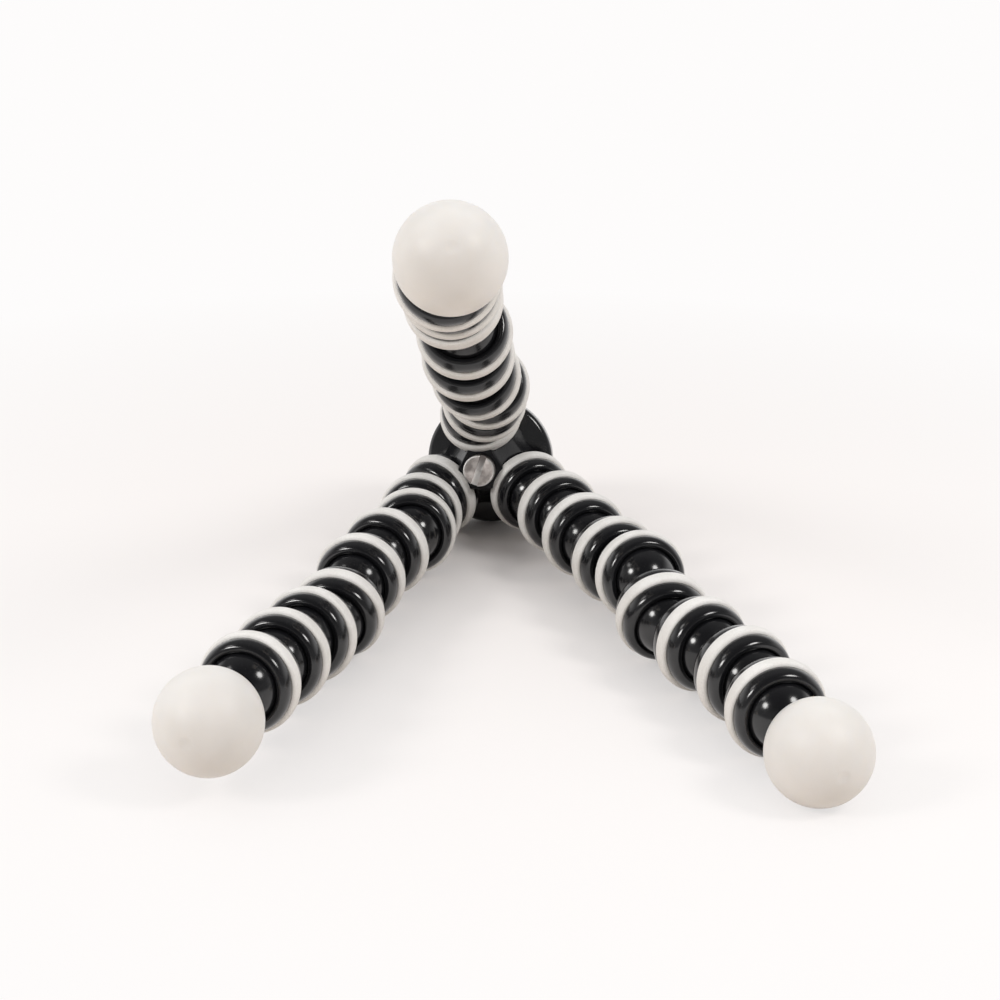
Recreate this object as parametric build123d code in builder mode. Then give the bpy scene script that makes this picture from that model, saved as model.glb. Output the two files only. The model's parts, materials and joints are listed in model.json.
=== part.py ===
from build123d import *
from math import asin, cos, degrees, radians, sin, sqrt
import os

# Flexible-leg tripod: a hub with a camera platform, and three legs of ball-and-socket links.
# It lies on one foot, on a grip ring of the next leg and on the rim of its head plate, with the
# third leg held up.
# All lengths are millimetres. In the row frame Z is up, X runs from the left to the right
# foot, and Y points away from the feet, towards the camera platform.

os.makedirs("parts", exist_ok=True)

INCH = 25.4

# Ball and socket, the same at every joint of the three legs
BALL_RADIUS = 9.0
JOINT_CLEARANCE = 0.08
BALL_FLAT_RADIUS = 3.0
NECK_RADIUS = 5.0
NECK_LENGTH = 1.5
CUP_WALL = 2.5
DOME_WALL = 2.9
MOUTH_HEIGHT = 2.4
LIP_HEIGHT = 3.2
LIP_CYLINDER_HEIGHT = 0.2
LIP_CREST_SHARE = 0.35
BEND_LIMIT = 30.0

# Rubber grip ring in its channel round each cup
GRIP_PROUD = 1.0
GRIP_WIDTH = 4.0
GRIP_SETBACK = 0.6
GRIP_SEAT_DEPTH = 0.8
GRIP_EDGE_RADIUS = 0.9
GRIP_HUB_CLEARANCE = 0.1

# Rubber ball foot over the core of its stud
FOOT_RADIUS = 12.8
FOOT_COLLAR_RADIUS = 7.2
FOOT_COLLAR_ROUNDING = 0.6
FOOT_NECK_LENGTH = 3.7
CORE_SETBACK = 2.8
CORE_RUBBER_COVER = 4.8
CORE_SHORTENING = 3.8
CORE_ROUNDING = 2.5
GATE_RADIUS = 1.6
GATE_DEPTH = 0.4

# Camera screw: a quarter-inch screw with a slotted cheese head
SCREW_RADIUS = INCH / 8
SCREW_HEAD_RADIUS = 4.75
SCREW_HEAD_HEIGHT = 4.0
SCREW_HEAD_CHAMFER = 0.35
SCREW_SLOT_WIDTH = 2.0
SCREW_SLOT_DEPTH = 1.6
SCREW_SLOT_ANGLE = 70.0
SCREW_CLEARANCE = 0.08
STUD_HEIGHT = 5.0
STUD_CHAMFER = 0.6

# Retaining ring that keeps the screw in the head plate
CLIP_RADIUS = 5.2
CLIP_THICKNESS = 0.8
CLIP_GROOVE_DEPTH = 0.6
CLIP_GAP = 0.2
CLIP_MOUTH_WIDTH = 3.0

# Hub: heights are measured up from the plane of the three hub grips
ARM_SPLAY = 32.0
ARM_GAP = 1.8
HUB_BOTTOM_DEPTH = 5.0
HUB_TOP_HEIGHT = 14.5
HUB_APOTHEM = 13.4
HUB_CORNER_RADIUS = 17.5
HUB_TAPER = 21.0
SPIGOT_RADIUS = 8.0
SPIGOT_HEIGHT = 2.5

# Head plate and the rubber pad let into it
PLATE_RADIUS = 19.6
PLATE_THICKNESS = 5.0
PLATE_LOWER_CHAMFER = 1.0
PLATE_UPPER_CHAMFER = 0.6
PAD_RADIUS = 18.0
PAD_THICKNESS = 1.5
PAD_RECESS = 0.7
PAD_HOLE_CLEARANCE = 1.2
PAD_EDGE_ROUNDING = 0.4
CLIP_POCKET_CLEARANCE = 0.4

# Legs: heading round the hub, then the direction of each link and of the foot.
# Lean is the angle away from the hub's axis, turn the angle round it from the leg's heading,
# both in whole degrees as the photograph shows the legs bent.
LEGS = {
    "upper": (
        0,
        [(21, 41), (20, 30), (14, 0), (22, 10), (23, 19), (27, 2), (14, 38), (12, 38), (18, 43)],
    ),
    "right": (
        120,
        [(32, -11), (29, -7), (32, -8), (24, -25), (30, 20), (35, -13), (34, -10), (24, -4), (28, -4)],
    ),
    "left": (
        240,
        [(8, -26), (6, -111), (15, 5), (13, -18), (17, -39), (9, 20), (7, 7), (8, 7), (12, -12)],
    ),
}
RESTING_FOOT = "right"
RESTING_RING_LEG, RESTING_RING_LINK = "left", 5

# Sizes that follow from the ones above
SOCKET_RADIUS = BALL_RADIUS + JOINT_CLEARANCE
CUP_RADIUS = SOCKET_RADIUS + CUP_WALL
DOME_DEPTH = SOCKET_RADIUS + DOME_WALL
MOUTH_RADIUS = sqrt(SOCKET_RADIUS**2 - MOUTH_HEIGHT**2)
BALL_TO_NECK = sqrt(BALL_RADIUS**2 - NECK_RADIUS**2)
BALL_TO_FLAT = sqrt(BALL_RADIUS**2 - BALL_FLAT_RADIUS**2)
LINK_PITCH = BALL_TO_NECK + NECK_LENGTH + DOME_DEPTH
GRIP_RADIUS = CUP_RADIUS + GRIP_PROUD
COLLAR_DISTANCE = BALL_TO_NECK + FOOT_NECK_LENGTH
FOOT_DISTANCE = COLLAR_DISTANCE + sqrt(FOOT_RADIUS**2 - FOOT_COLLAR_RADIUS**2)
CORE_RADIUS = FOOT_RADIUS - CORE_RUBBER_COVER
CORE_START = COLLAR_DISTANCE + CORE_SETBACK
CORE_END = CORE_START + FOOT_RADIUS - CORE_SHORTENING
CORE_END_RADIUS = CORE_RADIUS - CORE_ROUNDING
ARM_CIRCLE_RADIUS = SCREW_HEAD_RADIUS + ARM_GAP + GRIP_RADIUS * cos(radians(ARM_SPLAY))
PLATE_TOP_HEIGHT = HUB_TOP_HEIGHT + PLATE_THICKNESS
PAD_TOP_HEIGHT = PLATE_TOP_HEIGHT - PAD_RECESS + PAD_THICKNESS
STUD_TOP_HEIGHT = PAD_TOP_HEIGHT + STUD_HEIGHT
SCREW_BORE_RADIUS = SCREW_RADIUS + SCREW_CLEARANCE
CLIP_POCKET_RADIUS = CLIP_RADIUS + CLIP_POCKET_CLEARANCE
CLIP_POCKET_DEPTH = CLIP_GAP + CLIP_THICKNESS + CLIP_GAP
CLIP_BASE_HEIGHT = PLATE_TOP_HEIGHT - PAD_RECESS - CLIP_POCKET_DEPTH + CLIP_GAP
RIM_HEIGHT = PLATE_TOP_HEIGHT - PLATE_UPPER_CHAMFER


# The legs' joints in the hub's own frame
def direction(lean, heading):
    """A unit vector that leans away from straight down the hub's axis."""
    across = sin(radians(lean))
    return Vector(across * cos(radians(heading)), across * sin(radians(heading)), -cos(radians(lean)))


def leg_joints(heading, bends):
    """The ball centre and direction of each link of a leg, and of its foot, from the hub out."""
    arm = direction(ARM_SPLAY, heading)
    centre = direction(90, heading) * ARM_CIRCLE_RADIUS + arm * GRIP_SETBACK
    joints = []
    for lean, turn in bends:
        along = direction(lean, heading + turn)
        joints.append((centre, along))
        centre = centre + along * LINK_PITCH
    return joints


def foot_centre(joints):
    """The centre of the ball foot on a leg's last stud."""
    centre, along = joints[-1]
    return centre + along * FOOT_DISTANCE


local_legs = {name: leg_joints(heading, bends) for name, (heading, bends) in LEGS.items()}
local_feet = {name: foot_centre(joints) for name, joints in local_legs.items()}


# The lying position: the floor touches a foot, a grip ring and the head plate's rim
def disc_point(centre, axis, radius, toward):
    """The point of a disc that lies farthest along a direction."""
    across = toward - axis * toward.dot(axis)
    return centre + across.normalized() * radius


def ring_point(centre, axis, toward):
    """The point of a grip ring, with its rounded edges, that lies farthest along a direction."""
    rounding = min(GRIP_EDGE_RADIUS, GRIP_PROUD)
    side = GRIP_WIDTH / 2 - rounding
    edge_centre = centre + axis * (side if axis.dot(toward) > 0 else -side)
    return disc_point(edge_centre, axis, GRIP_RADIUS - rounding, toward) + toward * rounding


hub_up = Vector(0, 0, 1)
rim_centre = hub_up * RIM_HEIGHT
stud_end = hub_up * STUD_TOP_HEIGHT
resting_ball, resting_along = local_legs[RESTING_RING_LEG][RESTING_RING_LINK - 1]
ring_centre = resting_ball + resting_along * (LINK_PITCH - GRIP_SETBACK - GRIP_WIDTH / 2)

# Down starts as the direction away from the raised leg, and settles on the plane of the contacts
down = direction(90, LEGS["upper"][0]) * -1
for settling in range(60):
    foot_touch = local_feet[RESTING_FOOT] + down * FOOT_RADIUS
    rim_touch = disc_point(rim_centre, hub_up, PLATE_RADIUS, down)
    ring_touch = ring_point(ring_centre, resting_along, down)
    across_contacts = (rim_touch - foot_touch).cross(ring_touch - foot_touch).normalized()
    down = across_contacts * (1 if across_contacts.dot(down) > 0 else -1)
row_z = down * -1
between_feet = local_feet["right"] - local_feet["left"]
row_x = (between_feet - row_z * between_feet.dot(row_z)).normalized()
row_y = row_z.cross(row_x)


# The row's origin is the middle of the lowest side of the whole object's box
def reach(toward):
    """How far the feet, the head plate's rim and the stud's end reach along a direction."""
    feet = [centre.dot(toward) + FOOT_RADIUS for centre in local_feet.values()]
    rim = disc_point(rim_centre, hub_up, PLATE_RADIUS, toward).dot(toward)
    stud = disc_point(stud_end, hub_up, SCREW_RADIUS - STUD_CHAMFER, toward).dot(toward)
    return max(*feet, rim, stud)


shift = Vector(
    (reach(row_x) - reach(row_x * -1)) / 2,
    (reach(row_y) - reach(row_y * -1)) / 2,
    foot_touch.dot(row_z),
)


def turned(vector):
    """A direction of the hub's own frame, in the row frame."""
    return Vector(vector.dot(row_x), vector.dot(row_y), vector.dot(row_z))


def placed(point):
    """A point of the hub's own frame, in the row frame."""
    return turned(point) - shift


def seat_plane(centre, along):
    """The plane across a turned piece: its origin on the piece's axis, its Z along it."""
    side = Vector(0, 0, 1).cross(along).normalized()
    return Plane(origin=centre, x_dir=side, z_dir=along)


def section_plane(seat):
    """The plane of a turned piece's half section: X is the radius, Y runs along its axis."""
    return Plane(origin=seat.origin, x_dir=seat.x_dir, z_dir=seat.x_dir.cross(seat.z_dir))


HUB = Plane(origin=placed(Vector(0, 0, 0)), x_dir=turned(Vector(1, 0, 0)), z_dir=turned(Vector(0, 0, 1)))
HUB_AXIS = Axis(HUB.origin, HUB.z_dir)
arm_seats = {}
for leg, joints in local_legs.items():
    arm = direction(ARM_SPLAY, LEGS[leg][0])
    arm_seats[leg] = seat_plane(placed(joints[0][0]), turned(arm))
seats = {
    leg: [seat_plane(placed(centre), turned(along)) for centre, along in joints]
    for leg, joints in local_legs.items()
}


# Outlines that several pieces share
def cup_lines(socket):
    """The open half section of a cup, from its neck round the lip to the bottom of the socket.

    The socket's centre lies at this height along the axis."""
    wall_foot = socket - GRIP_SETBACK - GRIP_WIDTH
    wall_top = socket - GRIP_SETBACK
    seat_radius = CUP_RADIUS - GRIP_SEAT_DEPTH
    crest_radius = MOUTH_RADIUS + (CUP_RADIUS - MOUTH_RADIUS) * LIP_CREST_SHARE
    dome_edge = (CUP_RADIUS, wall_foot - GRIP_SEAT_DEPTH)
    dome_width = CUP_RADIUS - NECK_RADIUS
    dome_height = dome_edge[1] - (socket - DOME_DEPTH)
    EllipticalCenterArc(
        (NECK_RADIUS, dome_edge[1]), dome_width, dome_height, start_angle=270, arc_size=90
    )
    Polyline(
        dome_edge,
        (CUP_RADIUS, wall_foot),
        (seat_radius, wall_foot),
        (seat_radius, wall_top),
        (CUP_RADIUS, wall_top),
        (CUP_RADIUS, socket + LIP_CYLINDER_HEIGHT),
    )
    outer_lip = TangentArc(
        (CUP_RADIUS, socket + LIP_CYLINDER_HEIGHT), (crest_radius, socket + LIP_HEIGHT), tangent=(0, 1)
    )
    TangentArc(
        (crest_radius, socket + LIP_HEIGHT), (MOUTH_RADIUS, socket + MOUTH_HEIGHT), tangent=outer_lip % 1
    )
    mouth_angle = degrees(asin(MOUTH_HEIGHT / SOCKET_RADIUS))
    CenterArc((0, socket), SOCKET_RADIUS, start_angle=-90, arc_size=90 + mouth_angle)


def ball_lines():
    """The half section of a joint ball centred on the origin, from its flat to the neck."""
    flat_angle = -degrees(asin(BALL_TO_FLAT / BALL_RADIUS))
    neck_angle = degrees(asin(BALL_TO_NECK / BALL_RADIUS))
    Line((0, -BALL_TO_FLAT), (BALL_FLAT_RADIUS, -BALL_TO_FLAT))
    CenterArc((0, 0), BALL_RADIUS, start_angle=flat_angle, arc_size=neck_angle - flat_angle)


# Legs: links
def make_link(seat):
    """A moulded link: the ball that the link before holds, its neck, and a cup with a socket."""
    with BuildPart() as link:
        with BuildSketch(section_plane(seat)):
            with BuildLine():
                ball_lines()
                Line((NECK_RADIUS, BALL_TO_NECK), (NECK_RADIUS, BALL_TO_NECK + NECK_LENGTH))
                cup_lines(LINK_PITCH)
                Line((0, LINK_PITCH - SOCKET_RADIUS), (0, -BALL_TO_FLAT))
            make_face()
        revolve(axis=Axis(seat.origin, seat.z_dir))
    return link.part


# Legs: grip rings
def grip_face(socket):
    """The section of a grip ring: square in its channel, rounded where it stands proud."""
    inner = CUP_RADIUS - GRIP_SEAT_DEPTH
    middle = (inner + GRIP_RADIUS) / 2
    with Locations((middle, socket - GRIP_SETBACK - GRIP_WIDTH / 2)):
        ring = Rectangle(GRIP_RADIUS - inner, GRIP_WIDTH)
    fillet(ring.vertices().group_by(Axis.X)[-1], min(GRIP_EDGE_RADIUS, GRIP_PROUD))


def make_grip(seat):
    """A rubber ring round the cup of one link."""
    with BuildPart() as grip:
        with BuildSketch(section_plane(seat)):
            grip_face(LINK_PITCH)
        revolve(axis=Axis(seat.origin, seat.z_dir))
    return grip.part


# Feet: studs and rubber balls
def core_lines():
    """The half section of the stud's core inside the rubber, from its neck to its end."""
    shoulder = (CORE_RADIUS, CORE_END - CORE_ROUNDING)
    neck_end = (NECK_RADIUS, CORE_START)
    Polyline((NECK_RADIUS, COLLAR_DISTANCE), neck_end, (CORE_RADIUS, CORE_START), shoulder)
    RadiusArc(shoulder, (CORE_END_RADIUS, CORE_END), -CORE_ROUNDING)
    Line((CORE_END_RADIUS, CORE_END), (0, CORE_END))


def make_foot_stud(seat):
    """The last moulded piece of a leg: a joint ball, and the core that the rubber grips."""
    with BuildPart() as stud:
        with BuildSketch(section_plane(seat)):
            with BuildLine():
                ball_lines()
                Line((NECK_RADIUS, BALL_TO_NECK), (NECK_RADIUS, COLLAR_DISTANCE))
                core_lines()
                Line((0, CORE_END), (0, -BALL_TO_FLAT))
            make_face()
        revolve(axis=Axis(seat.origin, seat.z_dir))
    return stud.part


def make_foot(seat):
    """The rubber ball: flat where the neck enters, with a small moulding mark at its far end."""
    collar_angle = degrees(asin((FOOT_DISTANCE - COLLAR_DISTANCE) / FOOT_RADIUS))
    gate_angle = degrees(asin(sqrt(FOOT_RADIUS**2 - GATE_RADIUS**2) / FOOT_RADIUS))
    gate_rim = FOOT_DISTANCE + sqrt(FOOT_RADIUS**2 - GATE_RADIUS**2)
    with BuildPart() as foot:
        with BuildSketch(section_plane(seat)):
            with BuildLine():
                core_lines()
                Line((0, CORE_END), (0, gate_rim - GATE_DEPTH))
                TangentArc((0, gate_rim - GATE_DEPTH), (GATE_RADIUS, gate_rim), tangent=(1, 0))
                arc_size = collar_angle + gate_angle
                CenterArc((0, FOOT_DISTANCE), FOOT_RADIUS, start_angle=-collar_angle, arc_size=arc_size)
                Line((FOOT_COLLAR_RADIUS, COLLAR_DISTANCE), (NECK_RADIUS, COLLAR_DISTANCE))
            section = make_face()
            fillet(section.vertices().group_by(Axis.Y)[0].sort_by(Axis.X)[-1], FOOT_COLLAR_ROUNDING)
        revolve(axis=Axis(seat.origin, seat.z_dir))
    return foot.part


# Hub: a three-sided tapering body with a socket for each leg
def make_hub():
    """The hub's moulded body: tapered flats between three splayed cups, and a spigot above."""
    with BuildPart() as hub:
        with BuildSketch(HUB.offset(HUB_TOP_HEIGHT)):
            RegularPolygon(HUB_APOTHEM, side_count=3, major_radius=False, rotation=0)
            Circle(HUB_CORNER_RADIUS, mode=Mode.INTERSECT)
        extrude(amount=-(HUB_TOP_HEIGHT + HUB_BOTTOM_DEPTH), taper=HUB_TAPER)
        for seat in arm_seats.values():
            with BuildSketch(section_plane(seat)):
                with Locations((0, -GRIP_SETBACK - GRIP_WIDTH)):
                    Rectangle(
                        GRIP_RADIUS + GRIP_HUB_CLEARANCE, LINK_PITCH, align=(Align.MIN, Align.MIN)
                    )
            revolve(axis=Axis(seat.origin, seat.z_dir), mode=Mode.SUBTRACT)
        for seat in arm_seats.values():
            with BuildSketch(section_plane(seat)):
                with BuildLine():
                    Line((0, -DOME_DEPTH), (NECK_RADIUS, -DOME_DEPTH))
                    cup_lines(0)
                    Line((0, -SOCKET_RADIUS), (0, -DOME_DEPTH))
                make_face()
            revolve(axis=Axis(seat.origin, seat.z_dir))
        for seat in arm_seats.values():
            with Locations(seat.location):
                Sphere(SOCKET_RADIUS, mode=Mode.SUBTRACT)
        with BuildSketch(HUB.offset(HUB_TOP_HEIGHT)):
            Circle(SPIGOT_RADIUS)
        extrude(amount=SPIGOT_HEIGHT)
        with BuildSketch(HUB.offset(HUB_TOP_HEIGHT + SPIGOT_HEIGHT)):
            Circle(SCREW_BORE_RADIUS)
        extrude(amount=-(HUB_TOP_HEIGHT + SPIGOT_HEIGHT + HUB_BOTTOM_DEPTH), mode=Mode.SUBTRACT)
    return hub.part


def make_hub_grips():
    """The three grip rings of the hub's cups, one group of separate rings."""
    with BuildPart() as grips:
        for seat in arm_seats.values():
            with BuildSketch(section_plane(seat)):
                grip_face(0)
            revolve(axis=Axis(seat.origin, seat.z_dir))
    return grips.part


# Head: plate, pad, screw and retaining ring
def make_plate():
    """The round head plate: it sits over the hub's spigot, with a recess for the pad above."""
    with BuildPart() as plate:
        with BuildSketch(HUB.offset(HUB_TOP_HEIGHT)):
            Circle(PLATE_RADIUS)
        extrude(amount=PLATE_THICKNESS)
        chamfer(plate.faces().sort_by(HUB_AXIS)[0].edges(), PLATE_LOWER_CHAMFER)
        chamfer(plate.faces().sort_by(HUB_AXIS)[-1].edges(), PLATE_UPPER_CHAMFER)
        with BuildSketch(HUB.offset(PLATE_TOP_HEIGHT)):
            Circle(PAD_RADIUS)
        extrude(amount=-PAD_RECESS, mode=Mode.SUBTRACT)
        with BuildSketch(HUB.offset(PLATE_TOP_HEIGHT - PAD_RECESS)):
            Circle(CLIP_POCKET_RADIUS)
        extrude(amount=-CLIP_POCKET_DEPTH, mode=Mode.SUBTRACT)
        with BuildSketch(HUB.offset(HUB_TOP_HEIGHT)):
            Circle(SPIGOT_RADIUS)
        extrude(amount=SPIGOT_HEIGHT, mode=Mode.SUBTRACT)
        with BuildSketch(HUB.offset(HUB_TOP_HEIGHT)):
            Circle(SCREW_BORE_RADIUS)
        extrude(amount=PLATE_THICKNESS, mode=Mode.SUBTRACT)
    return plate.part


def make_pad():
    """The round rubber pad that the camera sits on, with a hole for the stud."""
    with BuildPart() as pad:
        with BuildSketch(HUB.offset(PLATE_TOP_HEIGHT - PAD_RECESS)):
            Circle(PAD_RADIUS)
            Circle(SCREW_RADIUS + PAD_HOLE_CLEARANCE, mode=Mode.SUBTRACT)
        extrude(amount=PAD_THICKNESS)
        outer = pad.faces().sort_by(HUB_AXIS)[-1].edges().sort_by(SortBy.RADIUS)[-1]
        fillet(outer, PAD_EDGE_ROUNDING)
    return pad.part


def make_screw():
    """The camera screw: a slotted head under the hub, a long shank, and the stud above the pad."""
    groove_radius = SCREW_RADIUS - CLIP_GROOVE_DEPTH
    with BuildPart() as screw:
        with BuildSketch(HUB.offset(-HUB_BOTTOM_DEPTH)):
            Circle(SCREW_HEAD_RADIUS)
        extrude(amount=-SCREW_HEAD_HEIGHT)
        chamfer(screw.faces().sort_by(HUB_AXIS)[0].edges(), SCREW_HEAD_CHAMFER)
        with BuildSketch(HUB.offset(-HUB_BOTTOM_DEPTH - SCREW_HEAD_HEIGHT)):
            Rectangle(SCREW_HEAD_RADIUS * 2, SCREW_SLOT_WIDTH, rotation=SCREW_SLOT_ANGLE)
        extrude(amount=SCREW_SLOT_DEPTH, mode=Mode.SUBTRACT)
        with BuildSketch(HUB.offset(-HUB_BOTTOM_DEPTH)):
            Circle(SCREW_RADIUS)
        extrude(amount=HUB_BOTTOM_DEPTH + STUD_TOP_HEIGHT)
        chamfer(screw.faces().sort_by(HUB_AXIS)[-1].edges(), STUD_CHAMFER)
        with BuildSketch(HUB.offset(CLIP_BASE_HEIGHT)):
            Circle(SCREW_RADIUS)
            Circle(groove_radius, mode=Mode.SUBTRACT)
        extrude(amount=CLIP_THICKNESS, mode=Mode.SUBTRACT)
    return screw.part


def make_clip():
    """The retaining ring in the screw's groove, open on one side to be pushed on."""
    groove_radius = SCREW_RADIUS - CLIP_GROOVE_DEPTH
    with BuildPart() as clip:
        with BuildSketch(HUB.offset(CLIP_BASE_HEIGHT)):
            Circle(CLIP_RADIUS)
            Circle(groove_radius, mode=Mode.SUBTRACT)
            Rectangle(CLIP_RADIUS, CLIP_MOUTH_WIDTH, align=(Align.MIN, Align.CENTER), mode=Mode.SUBTRACT)
        extrude(amount=CLIP_THICKNESS)
    return clip.part


# Building and writing every piece
def save(piece, name):
    """Labels a finished piece and writes its file."""
    piece.label = name
    export_step(piece, f"parts/{name}.step")


save(make_hub(), "hub_body")
save(make_hub_grips(), "hub_grip_rings")
save(make_plate(), "head_plate")
save(make_pad(), "platform_pad")
save(make_screw(), "camera_screw")
save(make_clip(), "screw_retaining_ring")
for leg, leg_seats in seats.items():
    for number, seat in enumerate(leg_seats[:-1], start=1):
        save(make_link(seat), f"{leg}_link_{number}")
        save(make_grip(seat), f"{leg}_grip_{number}")
    save(make_foot_stud(leg_seats[-1]), f"{leg}_foot_stud")
    save(make_foot(leg_seats[-1]), f"{leg}_foot_ball")

print("link pitch", round(LINK_PITCH, 2), "foot distance", round(FOOT_DISTANCE, 2))
print("hub origin", HUB.origin, "stud direction", HUB.z_dir, "upper arm heading", HUB.x_dir)
for leg, leg_seats in seats.items():
    parent = arm_seats[leg]
    for number, seat in enumerate(leg_seats, start=1):
        print("joint", leg, number, "pivot", seat.origin, "held by", parent.z_dir, "along", seat.z_dir)
        parent = seat
    print("foot", leg, "centre", placed(local_feet[leg]))
print("bend limit", BEND_LIMIT)
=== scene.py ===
# %% [markdown]
# # A flexible-leg tripod
#
# Three legs of black ball-and-socket links leave a small hub, and each link wears a pale rubber
# ring. The tripod lies on one ball foot, on a ring in the middle of the next leg and on the rim of
# its head plate, with the third leg held up towards us. A measured model of it exists already.
# This lesson loads that model, makes a smoother and richer copy of each visible piece, and then
# gives it finishes, a floor, lamps and a camera.

# %% Load the measured model
import json
import math
import bpy
from mathutils import Euler, Matrix, Vector


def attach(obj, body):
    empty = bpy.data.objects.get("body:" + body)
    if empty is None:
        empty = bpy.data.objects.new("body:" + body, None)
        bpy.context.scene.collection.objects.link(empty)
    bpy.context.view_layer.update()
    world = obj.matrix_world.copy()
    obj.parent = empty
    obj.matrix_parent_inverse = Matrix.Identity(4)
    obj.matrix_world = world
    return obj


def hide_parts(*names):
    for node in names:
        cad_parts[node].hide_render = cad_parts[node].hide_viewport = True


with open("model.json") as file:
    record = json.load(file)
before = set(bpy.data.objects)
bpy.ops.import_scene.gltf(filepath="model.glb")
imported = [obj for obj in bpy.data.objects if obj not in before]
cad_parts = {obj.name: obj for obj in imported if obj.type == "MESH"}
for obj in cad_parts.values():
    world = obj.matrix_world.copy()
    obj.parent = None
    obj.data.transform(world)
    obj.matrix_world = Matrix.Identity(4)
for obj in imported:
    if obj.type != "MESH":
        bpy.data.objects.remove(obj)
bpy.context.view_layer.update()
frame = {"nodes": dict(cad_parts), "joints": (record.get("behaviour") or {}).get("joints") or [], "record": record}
joints = {joint["name"]: joint for joint in frame["joints"]}

# %% [markdown]
# Everything on the tripod is a turned form: a section carried round an axis. So the first things
# to settle are the sizes of those sections, in millimetres, and where each axis lies. The joints
# of the measured model say where every ball's centre is, and a link's axis is the line from its
# own ball to the next one.

# %% Sizes of the turned pieces
MM = 0.001
BALL_R, BALL_FLAT_R = 9.0, 3.0
NECK_R, NECK_LENGTH = 5.0, 1.5
SOCKET_R, CUP_R, DOME_DEPTH = 9.08, 11.58, 11.98
MOUTH_HEIGHT, LIP_HEIGHT, LIP_FOOT = 2.4, 3.2, 0.2
GRIP_SETBACK, GRIP_WIDTH, GRIP_SEAT, GRIP_R = 0.6, 4.0, 0.8, 12.58
FOOT_R, FOOT_COLLAR_R, FOOT_NECK = 12.8, 7.2, 3.7
BALL_TO_NECK = math.sqrt(BALL_R**2 - NECK_R**2)
LINK_PITCH = BALL_TO_NECK + NECK_LENGTH + DOME_DEPTH
MOUTH_R = math.sqrt(SOCKET_R**2 - MOUTH_HEIGHT**2)
CREST_R = MOUTH_R + 0.35 * (CUP_R - MOUTH_R)
COLLAR_AT = BALL_TO_NECK + FOOT_NECK
FOOT_AT = COLLAR_AT + math.sqrt(FOOT_R**2 - FOOT_COLLAR_R**2)
print("link pitch", round(LINK_PITCH, 2), "mm, foot centre at", round(FOOT_AT, 2), "mm")

# %% Where each axis lies
LEGS = ("upper", "right", "left")
LINKS_PER_LEG = 8
FOOT_AXES = {
    "upper": (0.050002, -0.919616, 0.389623),
    "right": (0.298029, -0.954194, -0.026297),
    "left": (-0.289387, -0.957212, 0.001213),
}
ARM_SPLAY = math.radians(32)
stud_axis = Vector(joints["camera_screw_turn"]["axis"]).normalized()
hub_centre = Vector(joints["camera_screw_turn"]["pos_m"])
print("the hub's axis rises", round(math.degrees(math.asin(stud_axis.z)), 1), "degrees")


def pivot(leg, number):
    """The centre of a leg's ball, counted from the hub out."""
    kind = "fold" if number % 2 else "sway"
    return Vector(joints[f"{leg}_{kind}_{number}"]["pos_m"])


# %% Seat pieces on their axes
def seat(origin, axis, turn=0.0):
    """The matrix that puts a piece made along Z onto an axis, turned round it by an angle."""
    axis = Vector(axis).normalized()
    side = Vector((0, 0, 1)).cross(axis).normalized()
    across = axis.cross(side)
    columns = Matrix((side, across, axis)).transposed().to_4x4()
    return Matrix.Translation(origin) @ columns @ Matrix.Rotation(turn, 4, "Z")


def arm_axis(leg):
    """The direction in which a leg leaves the hub."""
    outward = pivot(leg, 1) - hub_centre
    outward -= stud_axis * outward.dot(stud_axis)
    return outward.normalized() * math.sin(ARM_SPLAY) - stud_axis * math.cos(ARM_SPLAY)


link_seats = {}
for leg in LEGS:
    for number in range(1, LINKS_PER_LEG + 1):
        start, end = pivot(leg, number), pivot(leg, number + 1)
        link_seats[leg, number] = seat(start, end - start)
hub_seat = seat(hub_centre, stud_axis)
print("worked out the seats of", len(link_seats), "links")

# %% [markdown]
# One small set of helpers makes every turned piece. A single vertex is extruded from point to
# point along the half section, and then the spin tool carries that line round the Z axis. This is
# how you would do it by hand, and it gives rings of faces as fine as we like, which a glossy
# surface needs. Doubles are merged at the axis, and normals are made to face outwards.

# %% Points along an arc
def arc(centre, radius, start, end, steps):
    """Points along an arc of a section, from one angle to another, in degrees."""
    points = []
    for step in range(steps + 1):
        angle = math.radians(start + (end - start) * step / steps)
        points.append((centre[0] + radius * math.cos(angle), centre[1] + radius * math.sin(angle)))
    return points


def arc_through(first, middle, last, steps):
    """Points along the arc through three points of a section."""
    (ax, ay), (bx, by), (cx, cy) = first, middle, last
    double = 2 * (ax * (by - cy) + bx * (cy - ay) + cx * (ay - by))
    a2, b2, c2 = ax**2 + ay**2, bx**2 + by**2, cx**2 + cy**2
    ux = (a2 * (by - cy) + b2 * (cy - ay) + c2 * (ay - by)) / double
    uy = (a2 * (cx - bx) + b2 * (ax - cx) + c2 * (bx - ax)) / double
    angles = [math.degrees(math.atan2(y - uy, x - ux)) for x, y in (first, middle, last)]
    sweep = (angles[2] - angles[0]) % 360
    if (angles[1] - angles[0]) % 360 > sweep:
        sweep -= 360
    return arc((ux, uy), math.hypot(ax - ux, ay - uy), angles[0], angles[0] + sweep, steps)


# %% Select one piece or nothing
def deselect_everything():
    """Leaves object mode with nothing selected, so that no operator touches a CAD node."""
    if bpy.context.object and bpy.context.object.mode != "OBJECT":
        bpy.ops.object.mode_set(mode="OBJECT")
    bpy.ops.object.select_all(action="DESELECT")


def make_active(piece):
    """Selects one piece alone."""
    deselect_everything()
    piece.select_set(True)
    bpy.context.view_layer.objects.active = piece


# %% Turn a section into a piece
ROUND_STEPS, WIDE_STEPS, SCREW_STEPS, BORE_STEPS = 96, 128, 72, 48
MERGE_DISTANCE = 0.002 * MM


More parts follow.
